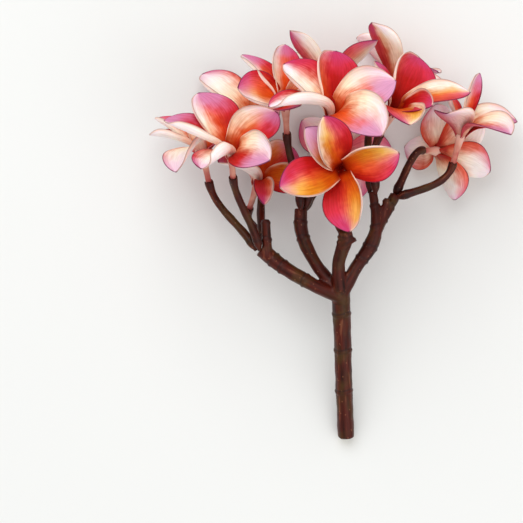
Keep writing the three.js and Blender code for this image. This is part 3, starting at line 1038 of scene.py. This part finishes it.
@dataclass
class Flower:
    """One flower: its corolla of five petal lobes on a tube, and the pedicel and calyx that carry it.

    Its throat and the start of its pedicel are places in millimetres from the fork. Facing is the way
    it opens, and lead the way its pedicel starts. Petals are listed counter-clockwise seen from the
    front.
    """

    name: str
    throat: Place
    facing: Place
    start: Place
    lead: Place = (0.0, 1.0, 0.1)
    petals: tuple[Petal, ...] = ()
    index: int = 0
    form: PetalForm = PetalForm()
    tube: Tube = Tube()
    pedicel: Pedicel = Pedicel()
    surface: Surface = Surface()

    def own_frame(self) -> Matrix:
        """The flower's own frame, in millimetres: its origin is the throat and z is the way it faces."""
        turn = Vector((0, 0, 1)).rotation_difference(Vector(self.facing).normalized())
        return Matrix.Translation(FORK + Vector(self.throat)) @ turn.to_matrix().to_4x4()

    def build_corolla(self, flesh: bpy.types.Material) -> bpy.types.Object:
        """Builds the corolla, five lobes and a tube as one piece, and gives it its material.

        Args:
            flesh: the petal material.

        Returns:
            The finished piece.
        """
        to_world = self.own_frame()
        skins = [self.tube.skin(to_world, self.index)]
        for number, petal in enumerate(self.petals):
            skins.append(self.form.skin(petal, to_world, self.surface, self.index, number))
        points: list[Vector] = []
        faces: list[Face] = []
        for skin in skins:
            shift = len(points)
            points += skin.points
            faces += [tuple(shift + index for index in face) for face in skin.faces]
        piece = mesh_piece("flower_" + self.name, points, faces)
        marks = [mark for skin in skins for mark in skin.marks]
        layer = piece.data.uv_layers.new(name="petal")
        for loop in piece.data.loops:
            mark = marks[loop.vertex_index]
            layer.data[loop.index].uv = (mark.across, mark.along)
        write_numbers(piece.data, "edge", Kind.NUMBER, [mark.edge for mark in marks])
        write_numbers(piece.data, "outside", Kind.NUMBER, [mark.outside for mark in marks])
        write_numbers(piece.data, "reach", Kind.COLOUR, [skin.reach for skin in skins for _ in skin.marks])
        # glow: how much painted light, shining through, puts the inner colours on each skin's outer face
        write_numbers(piece.data, "glow", Kind.NUMBER, [skin.glow for skin in skins for _ in skin.marks])
        write_numbers(piece.data, "seed", Kind.NUMBER, [skin.seed for skin in skins for _ in skin.marks])
        piece.data.materials.append(flesh)
        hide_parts("corolla_" + self.name)
        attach(piece, "root")
        return piece

    def build_pedicel(self, skin: bpy.types.Material) -> bpy.types.Object:
        """Builds the pedicel with its calyx and gives it its material.

        Args:
            skin: the stem material.

        Returns:
            The finished piece.
        """
        foot = self.own_frame() @ Vector((0, 0, -self.tube.length - GAP))
        lead, facing = Vector(self.lead).normalized(), Vector(self.facing).normalized()
        spots = self.pedicel.curve(FORK + Vector(self.start), lead, foot, facing)
        rings, grain, scar = self.pedicel.shape(spots, facing, self.index)
        points, faces = loft(rings)
        keep_above_surface(points)
        piece = mesh_piece("pedicel_and_calyx_" + self.name, points, faces)
        write_numbers(piece.data, "grain", Kind.VECTOR, grain)
        write_numbers(piece.data, "scar", Kind.NUMBER, scar)
        write_numbers(piece.data, "cut", Kind.NUMBER, [0.0] * len(points))
        piece.data.materials.append(skin)
        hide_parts("pedicel_" + self.name)
        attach(piece, "root")
        return piece


# ---- The stalk ----


@dataclass(frozen=True)
class Branch:
    """A stretch of stalk: its knots from the fork as x, y, z and radius, and the scars along it.

    A scar is a raised ring where a bract or a pedicel has dropped, at a distance from the first knot.
    """

    name: str
    knots: tuple[tuple[float, float, float, float], ...]
    scars: tuple[float, ...] = ()

    def spots(self, steps: int = 14) -> list[tuple[Vector, float]]:
        """Points with a radius on a smooth line through the knots, in millimetres.

        Args:
            steps: how many points lie between two knots.

        Returns:
            Points of the middle line with the stem's radius there.
        """
        places = [FORK + Vector(knot[:3]) for knot in self.knots]
        places = [2 * places[0] - places[1], *places, 2 * places[-1] - places[-2]]
        spots = []
        for k in range(1, len(places) - 2):
            a, b, c, d = places[k - 1 : k + 3]
            times = [0.0]
            for one, two in ((a, b), (b, c), (c, d)):
                times.append(times[-1] + math.sqrt((two - one).length))
            is_last = k == len(places) - 3
            for i in range(steps + is_last):
                t = mix(times[1], times[2], i / steps)
                ab = a.lerp(b, (t - times[0]) / (times[1] - times[0]))
                bc = b.lerp(c, (t - times[1]) / (times[2] - times[1]))
                cd = c.lerp(d, (t - times[2]) / (times[3] - times[2]))
                abc = ab.lerp(bc, (t - times[0]) / (times[2] - times[0]))
                bcd = bc.lerp(cd, (t - times[1]) / (times[3] - times[1]))
                radius = mix(self.knots[k - 1][3], self.knots[k][3], i / steps)
                spots.append((abc.lerp(bcd, (t - times[1]) / (times[2] - times[1])), radius))
        return spots


class Trace(NamedTuple):
    """A point on a branch's middle line: the way it runs, a way across, and how far along it lies."""

    spot: Vector
    way: Vector
    right: Vector
    run: float
    scars: tuple[float, ...]
    number: int


@dataclass
class Stalk:
    """The peduncle and its branches, grown as one piece of half-woody stem. Lengths are in millimetres."""

    branches: tuple[Branch, ...]
    voxel: float = 0.75
    soft_rounds: int = 6
    soft_share: float = 0.6
    bevel_sides: int = 8

    scar_height: float = 0.45
    scar_width: float = 0.9
    scar_wobble: float = 0.5
    groove_after: float = 1.6
    groove_width: float = 0.6
    groove_depth: float = 0.15
    ridge_darkness: float = 0.35
    crease_depth: float = 0.22
    crease_round: float = 1.7  # how fast the creases change round the stem
    crease_along: float = 0.07  # and along it
    crease_shift: float = 9.0
    lump_height: float = 0.3
    lump_pitch: float = 0.16
    bark: float = 1.3
    cut_depth: float = 0.5
    thinnest: float = 0.1
    grain_shift: float = 90.0  # so that no two branches have the same pattern
    trace: list[Trace] = field(default_factory=list)

    def tube(self, branch: Branch) -> bpy.types.Object:
        """One branch as a round tube of changing thickness, closed at both ends.

        Args:
            branch: the branch.

        Returns:
            The tube as a mesh object.
        """
        curve = bpy.data.curves.new(branch.name, "CURVE")
        curve.dimensions = "3D"
        curve.bevel_depth = MM
        curve.bevel_resolution = self.bevel_sides
        curve.use_fill_caps = True
        spline = curve.splines.new("POLY")
        spots = branch.spots()
        spline.points.add(len(spots) - 1)
        for knot, (spot, radius) in zip(spline.points, spots):
            knot.co = (*(spot * MM), 1.0)
            knot.radius = radius
        tube = bpy.data.objects.new(branch.name, curve)
        bpy.context.scene.collection.objects.link(tube)
        make_active(tube)
        bpy.ops.object.convert(target="MESH")
        return bpy.context.view_layer.objects.active

    def follow(self) -> kdtree.KDTree:
        """Notes each branch's middle line, with the way it runs.

        Returns:
            A finder of the line's nearest point.
        """
        for number, branch in enumerate(self.branches):
            spots = [spot for spot, _ in branch.spots()]
            right = Vector((1, 0, 0))
            run = 0.0
            for i, spot in enumerate(spots):
                before, after = spots[max(i - 1, 0)], spots[min(i + 1, len(spots) - 1)]
                way = (after - before).normalized()
                right = (right - way * right.dot(way)).normalized()
                run += (spot - before).length
                self.trace.append(Trace(spot, way, right, run, branch.scars, number))
        finder = kdtree.KDTree(len(self.trace))
        for i, item in enumerate(self.trace):
            finder.insert(item.spot, i)
        finder.balance()
        return finder

    def build(self, skin: bpy.types.Material) -> bpy.types.Object:
        """Grows the branches into one piece with its scars and creases, and gives it its material.

        Args:
            skin: the stem material.

        Returns:
            The finished piece.
        """
        tubes = [self.tube(branch) for branch in self.branches]
        make_active(tubes[0], tubes[1:])
        bpy.ops.object.join()
        piece = bpy.context.view_layer.objects.active
        piece.name = piece.data.name = "stalk_with_branches"
        remesh = piece.modifiers.new("grow together", "REMESH")
        remesh.mode = "VOXEL"
        remesh.voxel_size = self.voxel * MM
        rounded = piece.modifiers.new("soften the forks", "SMOOTH")
        rounded.iterations = self.soft_rounds
        rounded.factor = self.soft_share
        for modifier in list(piece.modifiers):
            bpy.ops.object.modifier_apply(modifier=modifier.name)
        self.shape(piece.data)
        piece.data.materials.clear()
        piece.data.materials.append(skin)
        piece.data.shade_smooth()
        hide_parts("stalk")
        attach(piece, "root")
        return piece

    def shape(self, mesh: bpy.types.Mesh) -> None:
        """Raises the scars, presses the creases in and notes what the material reads.

        Args:
            mesh: the stalk's mesh, with its branches grown together.
        """
        finder = self.follow()
        foot, foot_way = self.trace[0].spot, (self.trace[1].spot - self.trace[0].spot).normalized()
        pith_radius = self.branches[0].knots[0][3] - self.bark
        normals = [vertex.normal.copy() for vertex in mesh.vertices]
        grain, scar, cut = [], [], []
        for vertex, normal in zip(mesh.vertices, normals):
            spot = vertex.co / MM
            middle, way, right, run, scars, number = self.trace[finder.find(spot)[1]]
            arm = spot - middle
            run += arm.dot(way)
            arm = arm - way * arm.dot(way)
            angle = math.atan2(arm.dot(way.cross(right)), arm.dot(right))
            place = run + self.scar_wobble * math.sin(2 * angle + number)
            ridge = max((hump(place - s, self.scar_width) for s in scars), default=0.0)
            groove = max((hump(place - s - self.groove_after, self.groove_width) for s in scars), default=0.0)
            around = Vector((math.cos(angle), math.sin(angle), 0)) * self.crease_round
            down = run * self.crease_along + self.crease_shift * number
            crease = noise.noise(Vector((around.x, around.y, down)))
            lump = noise.noise(spot * self.lump_pitch)
            rise = self.scar_height * ridge - self.groove_depth * groove
            rise += self.crease_depth * crease + self.lump_height * lump
            at_end = abs((spot - foot).dot(foot_way)) < self.cut_depth
            if not at_end:
                spot = spot + normal * rise
            spot.z = max(spot.z, 0.0)
            vertex.co = spot * MM
            size = max(arm.length, self.thinnest)
            grain.append((size * math.cos(angle), size * math.sin(angle), run + self.grain_shift * number))
            scar.append(max(groove, self.ridge_darkness * ridge))
            cut.append(1.0 if at_end and arm.length < pith_radius else 0.0)
        write_numbers(mesh, "grain", Kind.VECTOR, grain)
        write_numbers(mesh, "scar", Kind.NUMBER, scar)
        write_numbers(mesh, "cut", Kind.NUMBER, cut)


BRANCHES = (
    Branch(
        "peduncle",
        ((4.5, -91, 4.8 - FORK.z, 5.2), (2.5, -50, -20, 5.3), (1, -12, -5, 5.7), (0, 3, 0, 6)),
        (31.0, 58.0, 82.0),
    ),
    Branch(
        "left",
        ((0, -4, 0, 4.5), (-14, 2, 1, 4.2), (-36, 15, 3, 4.6), (-48, 25, 4, 5)),
        (24.0, 40.0, 47.0),
    ),
    Branch("left_stub", ((-44, 22, 5, 3.2), (-45.5, 43, 8, 2.8)), (9.0, 19.5)),
    Branch(
        "mid_left",
        ((-2, 0, -2, 4.2), (-16, 18, -3, 3.8), (-23.5, 36, -4, 4.2), (-24, 50, -4, 4)),
        (38.0, 48.0),
    ),
    Branch("middle", ((0, 0, 2, 4.4), (-1, 16, 5, 4), (3, 31, 9, 4.8), (3, 36, 11, 4.2)), (29.0, 33.5)),
    Branch("middle_spur", ((3, 28, 10, 2), (9.5, 31, 12, 1.5))),
    Branch(
        "right",
        (
            (1, -2, 0, 4.6), (10, 14, 1, 4), (19, 28, 2, 4.8), (22, 38, 3, 3.8), (21, 52, 2, 2.9),
            (20, 60, 2, 2.8),
        ),
        (24.0, 33.0, 46.0, 59.0),
    ),
    Branch("far_right", ((22, 35, 3, 3.4), (27, 45, 1, 3.2), (34, 58, -3, 3.4)), (9.0, 18.0)),
    Branch("far_right_stub", ((25, 40, 2, 2.4), (28.5, 56, 3, 2)), (14.5,)),
)

FLOWERS = (
    Flower(
        "front", (-0.6, 73, 52), (0, -0.1, 1), (4.5, 34, 13), (0, 0.9, 0.5),
        (
            Petal(21, pale=0, gold=1, crimson=0.25, lilac=-0.02),
            Petal(112, width=0.95, flare=(14, 46, 72), pale=0.2, gold=1, crimson=0.38, lilac=-0.05),
            Petal(134, width=0.8, flare=(14, 50, 70), pale=0.05, gold=0.9, crimson=0.3, lilac=0.4, glow=0.6),
            Petal(199, width=1.05, pale=-0.05, gold=1, crimson=0.42, lilac=0.1),
            Petal(282, width=1.05, flare=(14, 60, 86), pale=-0.1, gold=0.85, crimson=0.52, lilac=0.06),
        ),
    ),
    Flower(
        "crown", (-5, 106, 37), (0.1, 0.78, 0.62), (0, 34, 9), (-0.1, 1, 0.1),
        (
            Petal(20, length=1.06, width=1.2, point=0.9, pale=0.4, gold=0.1, crimson=0.05, lilac=0.4),
            Petal(92, width=1.2, pale=-0.05, gold=0.1, crimson=0.75, lilac=-0.1),
            Petal(
                150, length=1.04, width=1.25, twist=2, curl=40,
                pale=0.62, gold=0.3, crimson=0.3, lilac=-0.3,
            ),
            Petal(
                208, length=1.15, flare=(14, 66, 92), curl=95, fold=0.2,
                pale=0.75, gold=0.2, crimson=0.2, lilac=-0.1,
            ),
            Petal(
                311, length=1.15, width=1.3, flare=(14, 68, 104),
                pale=0.42, gold=0.8, crimson=0, lilac=0.35,
            ),
        ),
    ),
    Flower(
        "left_front", (-66, 82, 42), (-0.05, 0.7, 0.7), (-49, 24, 8), (-0.2, 1, 0.3),
        (
            Petal(49, length=0.9, width=1.08, sweep=-0.2, pale=0.3, gold=0.7, crimson=0.45, lilac=0.24),
            Petal(
                115, width=1.12, twist=5, sweep=0.1, point=0.8,
                pale=0.35, gold=0.1, crimson=0.45, lilac=0.28,
            ),
            Petal(172, length=1.12, curl=80, fold=0.35, pale=0.35, gold=0.1, crimson=0.4, lilac=0.3),
            Petal(246, length=0.9, curl=110, fold=0.1, pale=0.8, gold=0.1, crimson=0.2, lilac=0.2),
            Petal(318, length=0.97, width=1.1, pale=0.45, gold=0.9, crimson=0.5, lilac=0.36),
        ),
    ),
    Flower(
        "upper_left", (-33.5, 112, 22), (-0.05, 0.87, 0.5), (-24, 48, -1),
        petals=(
            Petal(12, length=0.74, pale=0.15, gold=0.4, crimson=0.4),
            Petal(94, width=0.74, flare=(14, 54, 70), pale=0.28, gold=0.1, crimson=0.3, lilac=0.2),
            Petal(136, length=1.08, width=0.8, pale=0.5, gold=0.1, crimson=0.25, lilac=0.25),
            Petal(194, length=0.74, width=1.05, twist=-30, pale=0.28, gold=0.7, crimson=0.22, lilac=0.15),
            Petal(302, length=0.55, pale=0.1, gold=0.3, crimson=0.3),
        ),
    ),
    Flower(
        "upper_right", (32, 108, 27), (0.4, 0.7, 0.55), (21.5, 58, 4),
        petals=(
            Petal(10, length=1.15, width=0.8, twist=-5, pale=0.3, gold=1, crimson=0.2, lilac=-0.1),
            Petal(68, length=1.02, width=1.25, point=0.8, pale=-0.1, gold=0.1, crimson=0.9, lilac=-0.1),
            Petal(122, length=0.8, width=0.6, pale=0, gold=0, crimson=0.8, lilac=0.2),
            Petal(262, pale=0.1, gold=1, crimson=0.25, lilac=-0.3, glow=0.7),
            Petal(308, length=0.75, flare=(10, 35, 50), pale=-0.1, gold=0.2, crimson=1, lilac=-0.2, glow=0.9),
        ),
    ),
    Flower(
        "right", (74, 96, 0), (0.25, 0.95, 0.17), (34, 56, -1), (0.95, 0.4, 0.1),
        (
            Petal(
                17, length=0.9, flare=(14, 65, 85),
                pale=0.35, gold=0.3, crimson=0.45, lilac=0.25, glow=0.5,
            ),
            Petal(
                76, length=1.1, width=0.42, flare=(10, 35, 50), cup=70,
                pale=0.35, gold=0, crimson=0.35, lilac=0.3, glow=0.6,
            ),
            Petal(125, length=0.8, width=0.7, flare=(12, 45, 60), pale=0.4, gold=0.7, crimson=0.2),
            Petal(232, length=0.7, pale=0.2, gold=0.4, crimson=0.6, glow=0.5),
            Petal(306, flare=(14, 70, 100), pale=0.45, gold=0.3, crimson=0.45, lilac=0.3, glow=0.5),
        ),
    ),
    Flower(
        "low_left", (-50, 66, -15), (0.25, 0.75, 0.5), (-44, 25, 2), (-0.1, 0.9, -0.3),
        (
            Petal(48, length=0.8, pale=0.1, gold=0.5, crimson=0.5),
            Petal(130, length=0.75, pale=0.2, gold=0.4, crimson=0.4),
            Petal(200, length=0.85, pale=0.2, gold=0.4, crimson=0.4),
            Petal(
                268, length=0.95, width=0.5, flare=(14, 70, 105),
                pale=0.1, gold=0.2, crimson=0.6, lilac=0, glow=0.5,
            ),
            Petal(340, length=0.74, flare=(14, 70, 95), pale=0, gold=1, crimson=0.4, lilac=-0.1),
        ),
    ),
    Flower(
        "far_left", (-84, 84, 2), (-0.2, 0.9, 0.35), (-51, 24, 3), (-0.55, 1, 0),
        (
            Petal(78, length=0.6, flare=(12, 45, 60), pale=0.4, gold=0.4, crimson=0.3),
            Petal(145, pale=0.5, gold=0.7, crimson=0.1, lilac=0, glow=0.3),
            Petal(177, length=0.8, pale=0.5, gold=0.4, crimson=0.1, lilac=0.1),
            Petal(262, length=1.12, flare=(14, 75, 118), pale=0.95, gold=0.9, crimson=0, lilac=0.3, glow=0.4),
            Petal(2, length=0.85, pale=0.3, gold=0.4, crimson=0.3),
        ),
    ),
    Flower(
        "top_left", (-54, 106, -20.5), (-0.26, 0.72, 0.64), (-45, 26, -2), (-0.35, 1, -0.2),
        (
            Petal(145, width=1.1, pale=0.85, gold=0.3, crimson=0.05, lilac=0.15),
            Petal(172, length=0.75, pale=0.3, gold=0.4, crimson=0.4),
            Petal(262, length=0.6, pale=0.3, gold=0.4, crimson=0.3),
            Petal(325, length=0.85, pale=0.3, gold=0.4, crimson=0.3),
            Petal(25, length=0.85, pale=0.7, gold=0.7, crimson=0.1, lilac=0.05),
        ),
    ),
    Flower(
        "top", (-7, 125, -9.5), (-0.08, 0.93, -0.35), (-21, 49, -3), (0.2, 1, 0),
        (
            Petal(
                247, length=1.08, width=0.5, flare=(14, 54, 72), point=0.9,
                pale=0.5, gold=0.4, crimson=0.38, lilac=0.15, glow=0.8,
            ),
            Petal(
                336, width=0.62, flare=(30, 62, 74), twist=-10, point=0.9,
                pale=0.4, gold=1.2, crimson=0.2, lilac=0.1, glow=0.8,
            ),
            Petal(45, length=0.75, pale=0.3, gold=0.4, crimson=0.4),
            Petal(
                120, length=0.82, width=0.45, flare=(12, 25, 32), point=0.9,
                pale=0.1, gold=0.1, crimson=0.4, lilac=0.4,
            ),
            Petal(175, length=0.9, pale=0.3, gold=0.4, crimson=0.4),
        ),
    ),
    Flower(
        "top_right", (32, 125, -16), (0.49, 0.85, -0.17), (18, 59, 0), (0.1, 1, 0),
        (
            Petal(
                198, length=1.12, width=0.8, point=0.8,
                pale=0.38, gold=1.5, crimson=0.5, lilac=-0.2, glow=0.95,
            ),
            Petal(282, length=0.9, pale=0.4, gold=0.4, crimson=0.2, lilac=0.4, glow=0.5),
            Petal(355, pale=0.3, gold=0.4, crimson=0.3),
            Petal(60, pale=0.3, gold=0.4, crimson=0.3),
            Petal(125, pale=0.3, gold=0.4, crimson=0.3),
        ),
    ),
    Flower(
        "low_right", (60, 85, -11), (0.5, 0, -0.85), (33, 57, -5), (0.5, 0.9, 0.3),
        tuple(
            Petal(azimuth, length=0.82, pale=0.8, gold=3, crimson=-0.35, lilac=0, glow=0.85)
            for azimuth in (78, 143, 208, 266, 10)
        ),
    ),
    Flower(
        "back", (2, 84, -22.5), (0, 0.1, -1), (-22, 47, -7), (0.3, 1, 0),
        tuple(
            Petal(azimuth, length=0.85, gold=0.4, lilac=0.1, glow=0.3)
            for azimuth in (6, 78, 150, 222, 294)
        ),
    ),
)


# ---- The studio ----


@dataclass(frozen=True)
class Lamp:
    """A round soft light: its place and its size in metres, and its power in watts."""

    place: Place
    size: float
    power: float


@dataclass
class Studio:
    """A white paper surface, two large soft lights and a camera that looks straight down.

    The camera's place and sensor are in millimetres, as the cluster is. The others are in metres.
    """

    image_pixels: int = 523
    pixel_mm: float = 0.6  # size of a pixel at the height of the flowers
    flowers_height: float = 80.0
    camera_height: float = 2580.0
    camera_place: Pair = (-44.35, -17.93)
    sensor: float = 36.0
    farthest: float = 20.0  # metres
    floor_size: float = 6.0
    lamps: tuple[Lamp, ...] = (Lamp((-0.5, 1.3, 1.9), 2.4, 34.0), Lamp((0.9, -0.8, 1.6), 2.4, 13.0))
    lamps_aim: Place = (0.0, 0.03, 0.05)
    sky: str = "FFFFFF"
    sky_strength: float = 0.65

    def lay_floor(self, paper: bpy.types.Material) -> None:
        """Lays the paper that the cluster lies on.

        Args:
            paper: its material.
        """
        bpy.ops.object.select_all(action="DESELECT")
        bpy.ops.mesh.primitive_plane_add(size=self.floor_size, location=(0, 0, 0))
        floor = bpy.context.active_object
        floor.name = "paper"
        floor.data.materials.append(paper)

    def hang_lights(self) -> None:
        """Hangs a strong light over the flowers' far side and a weak one opposite, under a pale sky."""
        for lamp in self.lamps:
            bpy.ops.object.light_add(type="AREA", location=lamp.place)
            light = bpy.context.active_object
            light.data.shape = "DISK"
            light.data.size = lamp.size
            light.data.energy = lamp.power
            aim = Vector(self.lamps_aim) - Vector(lamp.place)
            light.rotation_euler = aim.to_track_quat("-Z", "Y").to_euler()
        world = bpy.data.worlds.new("studio")
        world.use_nodes = True
        backdrop = world.node_tree.nodes["Background"]
        backdrop.inputs["Color"].default_value = hex_colour(self.sky)
        backdrop.inputs["Strength"].default_value = self.sky_strength
        bpy.context.scene.world = world

    def set_camera(self) -> None:
        """Sets the camera over the cluster, so that a pixel covers its size at the flowers' height."""
        bpy.ops.object.camera_add(location=(*(Vector(self.camera_place) * MM), self.camera_height * MM))
        camera = bpy.context.active_object
        view = self.image_pixels * self.pixel_mm
        camera.data.sensor_width = self.sensor
        camera.data.lens = self.sensor * (self.camera_height - self.flowers_height) / view
        camera.data.clip_end = self.farthest
        bpy.context.scene.camera = camera
        bpy.context.scene.view_settings.view_transform = "Standard"


def main() -> None:
    """Builds the cluster piece by piece and sets up the studio."""
    logging.basicConfig(level=logging.INFO, format="%(message)s")
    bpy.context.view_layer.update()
    studio = Studio()
    studio.set_camera()
    flesh = PetalFlesh().material()
    skin = StemSkin().material()
    pieces = [Stalk(BRANCHES).build(skin)]
    for index, flower in enumerate(FLOWERS):
        flower.index = index
        pieces.append(flower.build_pedicel(skin))
        pieces.append(flower.build_corolla(flesh))
    for piece in pieces:
        LOG.info("%s: %d faces", piece.name, len(piece.data.polygons))
    studio.lay_floor(Paper().material())
    studio.hang_lights()


if __name__ == "__main__":
    main()
